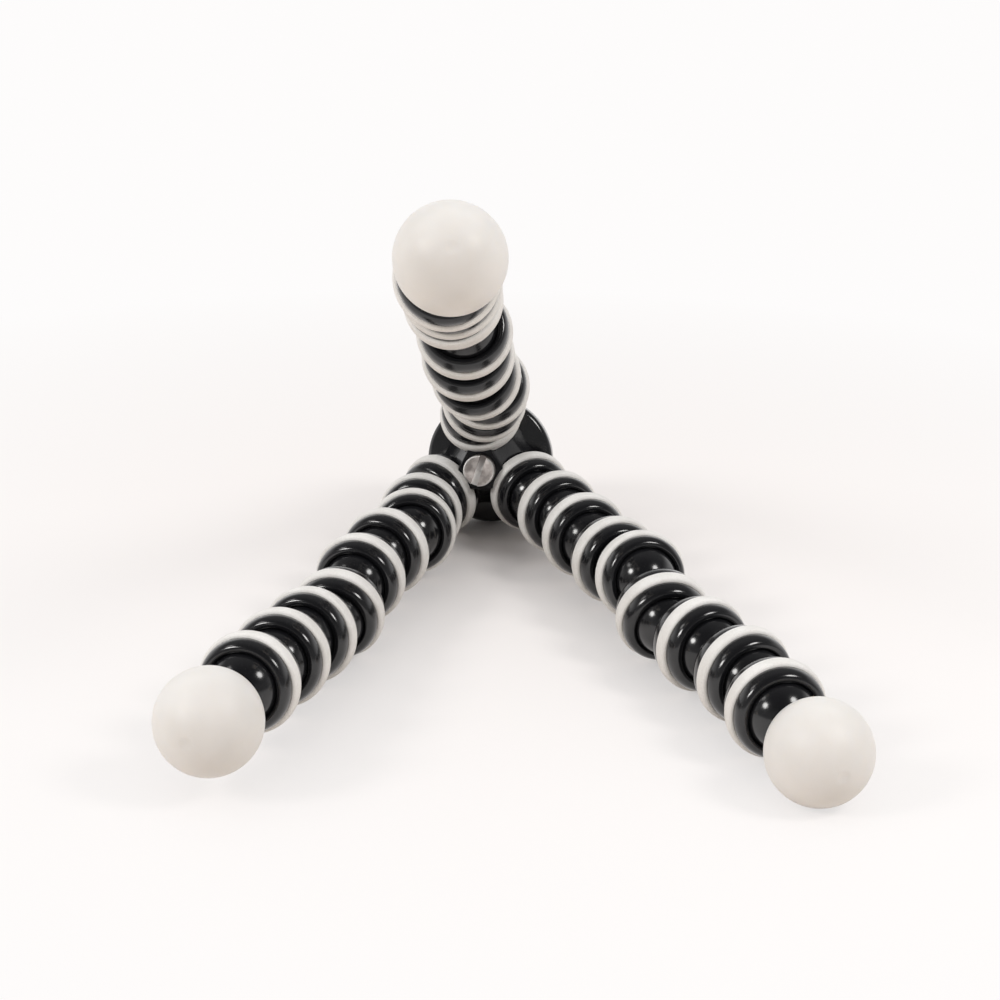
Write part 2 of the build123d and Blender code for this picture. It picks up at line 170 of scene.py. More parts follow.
def turn_section(name, points, closed=False, steps=ROUND_STEPS, smooth=40.0):
    """A turned piece: the half section, given as (radius, height) in millimetres, spun round Z."""
    deselect_everything()
    bpy.ops.mesh.primitive_circle_add(vertices=3, radius=MM, location=(0, 0, 0))
    piece = bpy.context.object
    piece.name = name
    bpy.ops.object.mode_set(mode="EDIT")
    bpy.ops.mesh.select_all(action="SELECT")
    bpy.ops.mesh.merge(type="CENTER")
    first = points[0]
    bpy.ops.transform.translate(value=(first[0] * MM, 0, first[1] * MM))
    path = points[1:] + ([first] if closed else [])
    last = first
    for point in path:
        step = ((point[0] - last[0]) * MM, 0, (point[1] - last[1]) * MM)
        bpy.ops.mesh.extrude_vertices_move(TRANSFORM_OT_translate={"value": step})
        last = point
    bpy.ops.mesh.select_all(action="SELECT")
    bpy.ops.mesh.spin(steps=steps, angle=math.tau, center=(0, 0, 0), axis=(0, 0, 1))
    bpy.ops.mesh.select_all(action="SELECT")
    bpy.ops.mesh.remove_doubles(threshold=MERGE_DISTANCE)
    bpy.ops.mesh.normals_make_consistent(inside=False)
    bpy.ops.object.mode_set(mode="OBJECT")
    bpy.ops.object.shade_smooth_by_angle(angle=math.radians(smooth))
    return piece


# %% Copy, finish and place a piece
def copy_piece(model, name, matrix):
    """A copy with its own mesh, moved in its mesh, so that its object stays at the origin."""
    mesh = model.data.copy()
    mesh.transform(matrix)
    piece = bpy.data.objects.new(name, mesh)
    bpy.context.scene.collection.objects.link(piece)
    return piece


def apply_modifiers(piece):
    """Turns a piece's modifiers into plain mesh, in their order."""
    make_active(piece)
    for modifier in list(piece.modifiers):
        bpy.ops.object.modifier_apply(modifier=modifier.name)


def ride_in_place_of(piece, body, slot, *nodes):
    """A finished piece moves with a body and shows instead of CAD nodes. The slot is not used."""
    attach(piece, body)
    if nodes:
        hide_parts(*nodes)


# %% [markdown]
# ## A link
#
# A link is one glossy black moulding. From its inner end it has a ball, a short neck, a dome that
# widens into a cup, a channel for the rubber ring, and a fat rounded lip round the socket. The
# lip's inner edge stops just off the next ball, and that gap is the thin dark groove in the
# photograph. The ball and the cup are drawn once as two lists of section points, because the hub's
# cups and the foot studs use them again.

# %% The section of a ball
ball_flat_angle = -math.degrees(math.acos(BALL_FLAT_R / BALL_R))
ball_neck_angle = math.degrees(math.acos(NECK_R / BALL_R))
NECK_FILLET, EDGE_IN, EDGE_ALONG = 0.35, 0.1, 0.15
BALL_STEPS = 30


def ball_section():
    """From the axis, over the flat, round the ball to where its neck begins."""
    points = [(0, -math.sqrt(BALL_R**2 - BALL_FLAT_R**2))]
    points += arc((0, 0), BALL_R, ball_flat_angle, ball_neck_angle - 1.5, BALL_STEPS)
    points += [(NECK_R + EDGE_IN, BALL_TO_NECK + EDGE_IN), (NECK_R, BALL_TO_NECK + NECK_FILLET)]
    return points


# %% The section of a cup
DOME_STEPS, LIP_STEPS, MOUTH_STEPS, SOCKET_STEPS = 14, 10, 6, 20


def cup_section(socket):
    """From the neck, over the dome, the ring's channel and the lip, to the socket's bottom."""
    channel_top = socket - GRIP_SETBACK
    channel_foot = channel_top - GRIP_WIDTH
    dome_edge = channel_foot - GRIP_SEAT
    dome_wide, dome_high = CUP_R - NECK_R, dome_edge - (socket - DOME_DEPTH)
    points = []
    for step in range(DOME_STEPS + 1):
        angle = math.radians(-90 + 90 * step / DOME_STEPS)
        points.append((
            NECK_R + dome_wide * math.cos(angle),
            dome_edge + dome_high * math.sin(angle),
        ))
    seat_r, broken_r = CUP_R - GRIP_SEAT, CUP_R - EDGE_IN
    points += [(CUP_R, channel_foot - EDGE_ALONG), (broken_r, channel_foot), (seat_r, channel_foot)]
    points += [(seat_r, channel_top), (broken_r, channel_top), (CUP_R, channel_top + EDGE_ALONG)]
    for step in range(LIP_STEPS + 1):
        angle = math.radians(90 * step / LIP_STEPS)
        points.append((
            CREST_R + (CUP_R - CREST_R) * math.cos(angle),
            socket + LIP_FOOT + (LIP_HEIGHT - LIP_FOOT) * math.sin(angle),
        ))
    roll_r, roll_height = MOUTH_R + 0.25 * (CREST_R - MOUTH_R), socket + LIP_HEIGHT - 0.22
    crest, mouth = (CREST_R, socket + LIP_HEIGHT), (MOUTH_R, socket + MOUTH_HEIGHT)
    points += arc_through(crest, (roll_r, roll_height), mouth, MOUTH_STEPS)[1:]
    mouth_angle = math.degrees(math.asin(MOUTH_HEIGHT / SOCKET_R))
    points += arc((0, socket), SOCKET_R, mouth_angle - 3, -90, SOCKET_STEPS)
    return points


# %% Model one link
link_model = turn_section("link_model", ball_section() + cup_section(LINK_PITCH))
print("a link has", len(link_model.data.polygons), "faces")

# %% [markdown]
# Each of the twenty-four links is a copy of that one, laid on its own axis. A copy gets its own
# mesh, and the mesh itself is moved, so the object stays at the world's origin as the CAD nodes do.

# %% Place the links
links = []
for leg in LEGS:
    for number in range(1, LINKS_PER_LEG + 1):
        link = copy_piece(link_model, f"link_{leg}_{number}", link_seats[leg, number])
        ride_in_place_of(link, f"{leg}_segment_{number}", "black_moulding", f"{leg}_link_{number}")
        links.append(link)
print("placed", len(links), "links")

# %% [markdown]
# ## A grip ring
#
# The ring is soft pale rubber, moulded in a loop and snapped into the channel. Its outer face
# bulges a little and its edges are round, and a small scar shows where it left its mould. It is a
# closed section spun round the axis. The scar is made by picking the few outer points near one
# side and moving them in, with proportional editing left off so that the dent stays small.

# %% The section of a grip ring
def grip_section(socket):
    """The ring's closed section, from its inner face outwards and round."""
    top = socket - GRIP_SETBACK
    foot = top - GRIP_WIDTH
    inner, edge = CUP_R - GRIP_SEAT, CUP_R - 0.05
    corner, corner_steps = 0.95, 6
    corner_r = GRIP_R - corner - 0.08
    shoulder_r, shoulder = GRIP_R - 0.03, 1.3
    points = [(inner, top), (edge, top)]
    points += arc((corner_r, top - corner), corner, 90, 22, corner_steps)
    points += [(shoulder_r, top - shoulder), (GRIP_R, top - GRIP_WIDTH / 2)]
    points += [(shoulder_r, foot + shoulder)]
    points += arc((corner_r, foot + corner), corner, -22, -90, corner_steps)
    points += [(edge, foot), (inner, foot)]
    return points


# %% Model one grip ring
def dent(piece, centre, reach, depth):
    """Moves the points near one place inwards, as a mould's gate leaves them."""
    make_active(piece)
    bpy.ops.object.mode_set(mode="EDIT")
    bpy.ops.mesh.select_all(action="DESELECT")
    bpy.ops.object.mode_set(mode="OBJECT")
    picked = 0
    for vertex in piece.data.vertices:
        near = (vertex.co - Vector(centre)).length < reach
        vertex.select = near
        picked += near
    bpy.ops.object.mode_set(mode="EDIT")
    bpy.ops.transform.translate(value=depth)
    bpy.ops.object.mode_set(mode="OBJECT")
    return picked


grip_model = turn_section("grip_model", grip_section(0), closed=True, steps=WIDE_STEPS)
SCAR_REACH, SCAR_DEPTH, SCAR_OFF_MIDDLE = 0.75, 0.22, 0.4
scar_height = -GRIP_SETBACK - GRIP_WIDTH / 2 + SCAR_OFF_MIDDLE
scar_place = (GRIP_R * MM, 0, scar_height * MM)
scar_points = dent(grip_model, scar_place, SCAR_REACH * MM, (-SCAR_DEPTH * MM, 0, 0))
print("the ring has", len(grip_model.data.polygons), "faces and a scar of", scar_points, "points")

# %% Place the grip rings
SCAR_TURN = math.radians(137)
grips = []
for leg in LEGS:
    arm_seat = seat(pivot(leg, 1), arm_axis(leg), SCAR_TURN * len(grips))
    ring = copy_piece(grip_model, f"grip_hub_{leg}", arm_seat)
    ride_in_place_of(ring, "hub", "grip_rubber")
    grips.append(ring)
    for number in range(1, LINKS_PER_LEG + 1):
        along = link_seats[leg, number] @ Matrix.Translation((0, 0, LINK_PITCH * MM))
        turned = along @ Matrix.Rotation(SCAR_TURN * len(grips), 4, "Z")
        ring = copy_piece(grip_model, f"grip_{leg}_{number}", turned)
        ride_in_place_of(ring, f"{leg}_segment_{number}", "grip_rubber", f"{leg}_grip_{number}")
        grips.append(ring)
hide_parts("hub_grip_rings")
print("placed", len(grips), "rings")

# %% [markdown]
# ## The feet
#
# Each leg ends in a ball of milky rubber on a black stud. The ball has a flat collar where the
# neck goes in, with a rounded rim, and a small dimple at its far end. The stud is a joint ball with
# a longer neck, and its core is hidden in the rubber, so only the part that shows is modelled.

# %% Model a foot and its stud
STUD_DEPTH, FOOT_STEPS = 2.2, 56


def foot_section():
    """From inside the rubber, out over the collar, round the ball to the dimple."""
    collar_angle = -math.degrees(math.acos(FOOT_COLLAR_R / FOOT_R))
    hole_r, hole_end = NECK_R + 0.02, COLLAR_AT + STUD_DEPTH + 0.2
    points = [(0, hole_end), (hole_r, hole_end), (hole_r, COLLAR_AT + 0.15)]
    points += [(NECK_R + 0.2, COLLAR_AT), (FOOT_COLLAR_R - 0.7, COLLAR_AT)]
    points += [(FOOT_COLLAR_R - 0.28, COLLAR_AT + 0.06)]
    points += arc((0, FOOT_AT), FOOT_R, collar_angle + 1.6, 81.5, FOOT_STEPS)
    dimple = ((1.6, 0.12), (1.25, 0.15), (0.85, 0.2), (0.45, 0.23), (0, 0.24))
    points += [(radius, FOOT_AT + FOOT_R - depth) for radius, depth in dimple]
    return points


foot_model = turn_section("foot_model", foot_section(), smooth=60.0)
stud_end = COLLAR_AT + STUD_DEPTH
stud_model = turn_section("stud_model", ball_section() + [(NECK_R, stud_end), (0, stud_end)])
print("a foot has", len(foot_model.data.polygons), "faces")

# %% Place the feet and studs
feet, studs = [], []
for leg in LEGS:
    foot_seat = seat(pivot(leg, LINKS_PER_LEG + 1), FOOT_AXES[leg])
    foot = copy_piece(foot_model, f"foot_{leg}", foot_seat)
    ride_in_place_of(foot, f"{leg}_foot", "foot_rubber", f"{leg}_foot_ball")
    feet.append(foot)
    stud = copy_piece(stud_model, f"stud_{leg}", foot_seat)
    ride_in_place_of(stud, f"{leg}_foot", "black_moulding", f"{leg}_foot_stud")
    studs.append(stud)
    lowest = min(vertex.co.z for vertex in foot.data.vertices) / MM
    print(leg, "foot's lowest point is at", round(lowest, 2), "mm")

# %% [markdown]
# ## The hub
#
# The hub is a three-sided block that narrows downwards, with a cup for each leg standing out of
# its corners. The block starts as a cone without its tip, so its corners have their draft. Three
# bisect cuts give the flats between the legs, and boolean cutters make room for each leg's ring.
# The cutting planes are tilted by the draft angle, so the flats lean as the photograph shows.

# %% Sizes of the hub
HUB_TOP, HUB_FOOT = 14.5, -5.0
HUB_APOTHEM, HUB_CORNER, BORE_R = 13.4, 17.5, 3.255
HUB_EDGE_ROUND, DRAFT = 0.35, math.radians(21)
hub_height = HUB_TOP - HUB_FOOT
hub_foot_corner = HUB_CORNER - hub_height * math.tan(DRAFT)


def hub_heading(leg):
    """The angle of a leg round the hub's axis, in the hub's own frame."""
    outward = hub_seat.to_3x3().transposed() @ arm_axis(leg)
    return math.atan2(outward.y, outward.x)


print("the legs' headings:", [round(math.degrees(hub_heading(leg)), 1) for leg in LEGS])

# %% Model the hub's block
deselect_everything()
bpy.ops.mesh.primitive_cone_add(
    vertices=ROUND_STEPS, radius1=hub_foot_corner * MM, radius2=HUB_CORNER * MM,
    depth=hub_height * MM, location=(0, 0, (HUB_TOP + HUB_FOOT) / 2 * MM),
)
hub_block = bpy.context.object
hub_block.name = "hub_block"
bpy.ops.object.transform_apply(location=True, rotation=True, scale=True)
bpy.ops.object.mode_set(mode="EDIT")
for leg in LEGS:
    heading = hub_heading(leg) + math.pi
    outward = Vector((math.cos(heading), math.sin(heading), 0))
    normal = outward * math.cos(DRAFT) - Vector((0, 0, 1)) * math.sin(DRAFT)
    point = outward * HUB_APOTHEM * MM + Vector((0, 0, HUB_TOP * MM))
    bpy.ops.mesh.select_all(action="SELECT")
    bpy.ops.mesh.bisect(plane_co=point, plane_no=normal, use_fill=True, clear_outer=True)
bpy.ops.object.mode_set(mode="OBJECT")
edge_round = hub_block.modifiers.new("edge rounding", "BEVEL")
edge_round.width = HUB_EDGE_ROUND * MM
edge_round.segments = 3
edge_round.limit_method = "ANGLE"
edge_round.angle_limit = math.radians(25)
apply_modifiers(hub_block)
print("the hub's block has", len(hub_block.data.polygons), "faces")

# %% Cut the room for each ring and the screw's bore
def cut(piece, cutter):
    """Takes a cutter's shape out of a piece, and removes the cutter."""
    tool = piece.modifiers.new("cut", "BOOLEAN")
    tool.operation = "DIFFERENCE"
    tool.solver = "EXACT"
    tool.object = cutter
    apply_modifiers(piece)
    bpy.data.objects.remove(cutter)


room_foot, room_top, room_r = -GRIP_SETBACK - GRIP_WIDTH, 20, GRIP_R + 0.1
room_points = [(0, room_foot), (room_r, room_foot), (room_r, room_top), (0, room_top)]
for leg in LEGS:
    arm_in_hub = hub_seat.inverted() @ seat(pivot(leg, 1), arm_axis(leg))
    cutter = turn_section("ring_room", room_points)
    cutter.data.transform(arm_in_hub)
    cut(hub_block, cutter)
CUT_BEYOND = 5
bore_foot, bore_top = HUB_FOOT - CUT_BEYOND, HUB_TOP + CUT_BEYOND
bore_points = [(0, bore_foot), (BORE_R, bore_foot), (BORE_R, bore_top), (0, bore_top)]
cut(hub_block, turn_section("bore", bore_points, steps=BORE_STEPS))
hub_block.data.transform(hub_seat)
make_active(hub_block)
bpy.ops.object.shade_smooth_by_angle(angle=math.radians(30))
ride_in_place_of(hub_block, "hub", "black_moulding", "hub_body")
print("after the cuts it has", len(hub_block.data.polygons), "faces")

# %% Model and place the hub's cups
cup_model = turn_section("cup_model", [(0, -DOME_DEPTH)] + cup_section(0))
cups = []
for leg in LEGS:
    cup = copy_piece(cup_model, f"hub_cup_{leg}", seat(pivot(leg, 1), arm_axis(leg)))
    ride_in_place_of(cup, "hub", "black_moulding")
    cups.append(cup)
print("placed", len(cups), "cups on the hub")

# %% [markdown]
# ## The head
#
# The camera sits on a rubber pad in a round plate. From the front only the plate's rim shows, as a
# dark disc behind the hub with a thin light line along its bevel. The far side is hidden in the
# photograph, so it gets what such heads have: a pad with fine ribs round the screw.

# %% The sections of the plate and its pad
PLATE_R, PLATE_TOP = 19.6, 19.5
PAD_R, PAD_FLOOR, PAD_TOP = 18.0, 18.8, 20.3
SCREW_R, BORE_GAP = 3.175, 0.08
RING_ROOM_R, RING_ROOM_DEPTH = 5.6, 1.2
RIB_PITCH, RIB_GROOVE = 1.6, 0.3


def plate_section():
    """The plate's closed section round its bore, with its recess for the pad."""
    points = [(SCREW_R + BORE_GAP, HUB_TOP), (PLATE_R - 1.15, HUB_TOP)]
    points += [(PLATE_R - 0.9, HUB_TOP + 0.1), (PLATE_R - 0.1, HUB_TOP + 0.85)]
    points += [(PLATE_R, HUB_TOP + 1.1)]
    points += [(PLATE_R, PLATE_TOP - 0.75), (PLATE_R - 0.1, PLATE_TOP - 0.5)]
    points += [(PLATE_R - 0.5, PLATE_TOP - 0.1), (PLATE_R - 0.7, PLATE_TOP)]
    points += [(PAD_R + 0.1, PLATE_TOP), (PAD_R, PLATE_TOP - 0.1), (PAD_R, PAD_FLOOR)]
    points += [(RING_ROOM_R, PAD_FLOOR), (RING_ROOM_R, PAD_FLOOR - RING_ROOM_DEPTH)]
    points += [(SCREW_R + BORE_GAP, PAD_FLOOR - RING_ROOM_DEPTH)]
    return points


def pad_section():
    """The pad's closed section: flat below, and fine round ribs above."""
    hole = SCREW_R + 1.2
    points = [(hole, PAD_FLOOR), (hole, PAD_TOP - 0.2), (hole + 0.2, PAD_TOP)]
    radius, groove = hole + 1.0, PAD_TOP - RIB_GROOVE
    while radius + RIB_PITCH < PAD_R - 0.8:
        points += [(radius, PAD_TOP), (radius + 0.15, groove), (radius + 0.45, groove)]
        points += [(radius + 0.6, PAD_TOP)]
        radius += RIB_PITCH
    points += [(PAD_R - 0.4, PAD_TOP), (PAD_R - 0.12, PAD_TOP - 0.12), (PAD_R, PAD_TOP - 0.4)]
    points += [(PAD_R, PAD_FLOOR)]
    return points


# %% Model the plate and its pad
plate = turn_section("plate", plate_section(), closed=True, steps=WIDE_STEPS)
plate.data.transform(hub_seat)
ride_in_place_of(plate, "hub", "black_moulding", "head_plate")
pad = turn_section("pad", pad_section(), closed=True, steps=WIDE_STEPS)
pad.data.transform(hub_seat)
ride_in_place_of(pad, "hub", "pad_rubber", "platform_pad")
print("plate and pad have", len(plate.data.polygons) + len(pad.data.polygons), "faces")

# %% [markdown]
# ## The camera screw
#
# The slotted head in the middle of the hub is the screw's lower end, turned in metal, with a slot
# for a coin. The head is spun with a slightly rounded edge and faint turning rings, and the slot
# is a boolean cut whose box has its edges rounded first. At the other end the stud carries a real
# thread: a small three-sided rib that the Screw modifier winds up the shank.

# %% The section of the screw
HEAD_R, HEAD_FOOT, HEAD_TOP = 4.75, -9.0, -5.0
STUD_TOP, THREAD_FOOT, THREAD_CORE = 25.3, 18.7, 2.55
THREAD_PITCH, UNDERCUT, UNDERCUT_FOOT = 1.27, 0.6, 17.8
SLOT_ANGLE, SLOT_WIDTH, SLOT_DEPTH, SLOT_EDGE_ROUND = math.radians(106), 2.0, 1.6, 0.15
MARK_INSET, MARK_PITCH, MARK_HALF, MARK_DEPTH = 0.7, 0.5, 0.12, 0.012
head_face = [(0, HEAD_FOOT)]
mark_r = MARK_INSET
while mark_r < HEAD_R - MARK_INSET:
    head_face += [(mark_r - MARK_HALF, HEAD_FOOT), (mark_r, HEAD_FOOT + MARK_DEPTH)]
    head_face += [(mark_r + MARK_HALF, HEAD_FOOT)]
    mark_r += MARK_PITCH
screw_points = head_face + [
    (HEAD_R - 0.4, HEAD_FOOT), (HEAD_R - 0.12, HEAD_FOOT + 0.1), (HEAD_R, HEAD_FOOT + 0.36),
    (HEAD_R, HEAD_TOP - 0.1), (HEAD_R - 0.1, HEAD_TOP), (SCREW_R, HEAD_TOP),
    (SCREW_R, UNDERCUT_FOOT), (SCREW_R - UNDERCUT, UNDERCUT_FOOT),
    (SCREW_R - UNDERCUT, THREAD_FOOT), (THREAD_CORE, THREAD_FOOT + 0.1),
    (THREAD_CORE, STUD_TOP - 0.5), (THREAD_CORE - 0.35, STUD_TOP - 0.1),
    (THREAD_CORE - 0.6, STUD_TOP), (0, STUD_TOP),
]
print("the screw's section has", len(screw_points), "points")

# %% Turn the screw and cut its slot
screw = turn_section("screw", screw_points, steps=SCREW_STEPS)
deselect_everything()
bpy.ops.mesh.primitive_cube_add(size=1, location=(0, 0, HEAD_FOOT * MM))
slot_cutter = bpy.context.object
slot_cutter.scale = (HEAD_R * 3 * MM, SLOT_WIDTH * MM, SLOT_DEPTH * 2 * MM)
slot_cutter.rotation_euler = (0, 0, SLOT_ANGLE)
bpy.ops.object.transform_apply(location=True, rotation=True, scale=True)
slot_round = slot_cutter.modifiers.new("slot rounding", "BEVEL")
slot_round.width = SLOT_EDGE_ROUND * MM
slot_round.segments = 3
apply_modifiers(slot_cutter)
cut(screw, slot_cutter)
make_active(screw)
bpy.ops.object.shade_smooth_by_angle(angle=math.radians(30))
print("the screw has", len(screw.data.polygons), "faces")

# %% Wind the thread
WINDING_STEPS = 48
deselect_everything()
bpy.ops.mesh.primitive_circle_add(vertices=3, radius=MM, fill_type="NOTHING", location=(0, 0, 0))
thread = bpy.context.object
thread.name = "screw_thread"
rib_foot = THREAD_CORE - 0.15
rib = [(rib_foot, 0.0), (SCREW_R - 0.02, THREAD_PITCH * 0.42), (rib_foot, THREAD_PITCH * 0.84)]
for vertex, (radius, height) in zip(thread.data.vertices, rib):
    vertex.co = (radius * MM, 0, height * MM)
turns = int((STUD_TOP - THREAD_FOOT - 0.9) / THREAD_PITCH)
winding = thread.modifiers.new("winding", "SCREW")
winding.screw_offset = THREAD_PITCH * MM
winding.iterations = turns
winding.steps = WINDING_STEPS
winding.render_steps = WINDING_STEPS
apply_modifiers(thread)
bpy.ops.object.mode_set(mode="EDIT")
bpy.ops.mesh.select_all(action="SELECT")
bpy.ops.mesh.remove_doubles(threshold=MERGE_DISTANCE)
bpy.ops.mesh.fill_holes(sides=4)
bpy.ops.mesh.normals_make_consistent(inside=False)
bpy.ops.object.mode_set(mode="OBJECT")
thread.data.transform(Matrix.Translation((0, 0, (THREAD_FOOT + 0.1) * MM)))
bpy.ops.object.shade_smooth_by_angle(angle=math.radians(35))
for piece in (screw, thread):
    piece.data.transform(hub_seat)
ride_in_place_of(screw, "screw", "screw_steel", "camera_screw")
ride_in_place_of(thread, "screw", "screw_steel")
print("the thread has", turns, "turns")

# %% Remove the models that were only copied
for model in (link_model, grip_model, foot_model, stud_model, cup_model):
    bpy.data.objects.remove(model)

# %% [markdown]
# ## Finishes
#
# Several finishes share two effects, so each is a node group: a fine grain that gives a height and
# a mask, and dust that gives a mask of specks. They read Object coordinates, which on these pieces
# are metres in the model's own frame, so the grain has the same size on every piece.

# %% Helpers for groups and their nodes
def new_group(name, inputs, outputs):
    """An empty shader node group with number inputs and number outputs."""
    group = bpy.data.node_groups.new(name, "ShaderNodeTree")
    for label, value in inputs:
        socket = group.interface.new_socket(label, in_out="INPUT", socket_type="NodeSocketFloat")
        socket.default_value = value
    for label in outputs:
        group.interface.new_socket(label, in_out="OUTPUT", socket_type="NodeSocketFloat")
    return group, group.nodes.new("NodeGroupInput"), group.nodes.new("NodeGroupOutput")


def math_node(tree, operation, first, second):
    """A Math node whose inputs are numbers or sockets, and its result."""
    node = tree.nodes.new("ShaderNodeMath")
    node.operation = operation
    for index, value in enumerate((first, second)):
        if isinstance(value, (int, float)):
            node.inputs[index].default_value = value
        else:
            tree.links.new(value, node.inputs[index])
    return node.outputs[0]


def noise_node(tree, scale, detail, roughness=0.5):
    """A Noise texture on Object coordinates, with a number or a socket as its scale."""
    place = tree.nodes.new("ShaderNodeTexCoord")
    node = tree.nodes.new("ShaderNodeTexNoise")
    node.inputs["Detail"].default_value = detail
    node.inputs["Roughness"].default_value = roughness
    tree.links.new(place.outputs["Object"], node.inputs["Vector"])
    if isinstance(scale, (int, float)):
        node.inputs["Scale"].default_value = scale
    else:
        tree.links.new(scale, node.inputs["Scale"])
    return node.outputs["Fac"]


# %% A group for fine grain
grain_inputs = [("Scale", 2500.0), ("Broad", 120.0)]
grain, grain_in, grain_out = new_group("fine grain", grain_inputs, ["Height", "Mottle"])
fine = noise_node(grain, grain_in.outputs["Scale"], 4.0, 0.6)
broad = noise_node(grain, grain_in.outputs["Broad"], 3.0, 0.55)
grain.links.new(fine, grain_out.inputs["Height"])
grain.links.new(broad, grain_out.inputs["Mottle"])

# %% A group for dust specks
speck_inputs = [("Scale", 900.0), ("Amount", 0.1)]
specks, specks_in, specks_out = new_group("dust specks", speck_inputs, ["Mask"])
place = specks.nodes.new("ShaderNodeTexCoord")
cells = specks.nodes.new("ShaderNodeTexVoronoi")
specks.links.new(place.outputs["Object"], cells.inputs["Vector"])
specks.links.new(specks_in.outputs["Scale"], cells.inputs["Scale"])
spot = math_node(specks, "LESS_THAN", cells.outputs["Distance"], specks_in.outputs["Amount"])
PATCH_SCALE, PATCH_DETAIL = 160.0, 3.0
patch = noise_node(specks, PATCH_SCALE, PATCH_DETAIL)
patchy = math_node(specks, "GREATER_THAN", patch, 0.5)
specks.links.new(math_node(specks, "MULTIPLY", spot, patchy), specks_out.inputs["Mask"])
print("groups:", [group.name for group in bpy.data.node_groups])

# %% Start a finish, and use a group in it
def new_finish(name, base, roughness, **sockets):
    """A Principled material with its plain values set on the shader itself."""
    material = bpy.data.materials.new(name)
    material.use_nodes = True
    shader = material.node_tree.nodes["Principled BSDF"]
    shader.inputs["Base Color"].default_value = (*base, 1)
    shader.inputs["Roughness"].default_value = roughness
    for label, value in sockets.items():
        shader.inputs[label.replace("_", " ")].default_value = value
    return material, material.node_tree, shader


def use_group(tree, group, **values):
    """Places a group in a material with its own input values."""
    node = tree.nodes.new("ShaderNodeGroup")
    node.node_tree = group
    for label, value in values.items():
        node.inputs[label].default_value = value
    return node


# %% Mix colours, spread values and add bumps
def mix_colours(tree, factor, low, high):
    """A colour that goes from one to another as a mask goes from 0 to 1."""
    node = tree.nodes.new("ShaderNodeMix")
    node.data_type = "RGBA"
    for socket, value in zip((node.inputs[6], node.inputs[7]), (low, high)):
        if isinstance(value, tuple):
            socket.default_value = (*value, 1)
        else:
            tree.links.new(value, socket)
    tree.links.new(factor, node.inputs[0])
    return node.outputs[2]


def spread(tree, value, low, high, start=0.35, end=0.65):
    """A number that goes from low to high as a value goes from start to end, and stays there."""
    node = tree.nodes.new("ShaderNodeMapRange")
    for index, number in enumerate((start, end, low, high), start=1):
        node.inputs[index].default_value = number
    tree.links.new(value, node.inputs[0])
    return node.outputs[0]


def add_bump(tree, shader, height, strength, distance):
    """A Bump node that leads from a height to the shader's normal."""
    node = tree.nodes.new("ShaderNodeBump")
    node.inputs["Strength"].default_value = strength
    node.inputs["Distance"].default_value = distance
    tree.links.new(height, node.inputs["Height"])
    tree.links.new(node.outputs["Normal"], shader.inputs["Normal"])


# %% Give pieces a finish
def give(material, pieces):
    """Puts one material on pieces, in place of what they had."""
    for piece in pieces:
        piece.data.materials.clear()
        piece.data.materials.append(material)
    print(material.name, "on", len(pieces), "pieces")


# %% [markdown]
# The links are a hard black plastic with a bright gloss. Real gloss is never even, so a broad
# mottle thins its skin a little and moves the roughness of the body under it. A very fine grain
# ripples the reflections, and a few dust specks break up the darkest places. The hub's flats are
# smoother than the turned pieces, and have less of a skin.

# %% Glossy black moulding
def black_moulding(name, haze, skin):
    """Black gloss: a clear skin whose weight wanders, over a duller body that gives a halo."""
    material, tree, shader = new_finish(
        name, (0.0075, 0.0078, 0.0095), 0.24, Coat_Weight=skin, Coat_Roughness=haze, Coat_IOR=1.6,
    )
    shader.inputs["Specular IOR Level"].default_value = 0.1
    ripple = use_group(tree, grain, Scale=700.0, Broad=90.0)
    dust = use_group(tree, specks, Scale=1400.0, Amount=0.09)
    mottle = ripple.outputs["Mottle"]
    soft_black = mix_colours(tree, mottle, (0.0062, 0.0064, 0.0078), (0.0095, 0.0096, 0.0112))
    dusty = math_node(tree, "MULTIPLY", dust.outputs["Mask"], 0.35)
    dusted = mix_colours(tree, dusty, soft_black, (0.12, 0.115, 0.11))
    tree.links.new(dusted, shader.inputs["Base Color"])
    tree.links.new(spread(tree, mottle, 0.2, 0.28), shader.inputs["Roughness"])
    tree.links.new(spread(tree, mottle, skin, 0.8 * skin), shader.inputs["Coat Weight"])
    add_bump(tree, shader, ripple.outputs["Height"], 0.06, 0.1 * MM)
    return material


black = black_moulding("glossy black moulding", 0.155, 1.0)
flat_black = black_moulding("polished black moulding", 0.07, 0.3)
give(black, links + studs + cups + [plate])
give(flat_black, [hub_block])

# %% [markdown]
# The rings are a pale filled rubber. It is matt and slightly speckled, a little darker in patches
# where hands have rubbed it, and its grain is coarse enough to see along an edge.

# %% Pale grip rubber
pale, tree, shader = new_finish("pale grip rubber", (0.84, 0.825, 0.805), 0.72, Sheen_Weight=0.12)
grit = use_group(tree, grain, Scale=2600.0, Broad=150.0)
marks = use_group(tree, specks, Scale=1900.0, Amount=0.16)
handled = spread(tree, grit.outputs["Mottle"], 0.0, 1.0)
worn = mix_colours(tree, handled, (0.80, 0.785, 0.762), (0.88, 0.87, 0.855))
gritty = spread(tree, grit.outputs["Height"], 0.0, 0.35, start=0.45, end=0.75)
speckled = mix_colours(tree, gritty, worn, (0.58, 0.56, 0.53))
soiled = math_node(tree, "MULTIPLY", marks.outputs["Mask"], 0.3)
tree.links.new(mix_colours(tree, soiled, speckled, (0.3, 0.28, 0.25)), shader.inputs["Base Color"])
tree.links.new(spread(tree, grit.outputs["Mottle"], 0.64, 0.8), shader.inputs["Roughness"])
add_bump(tree, shader, grit.outputs["Height"], 0.35, 0.08 * MM)
give(pale, grips)
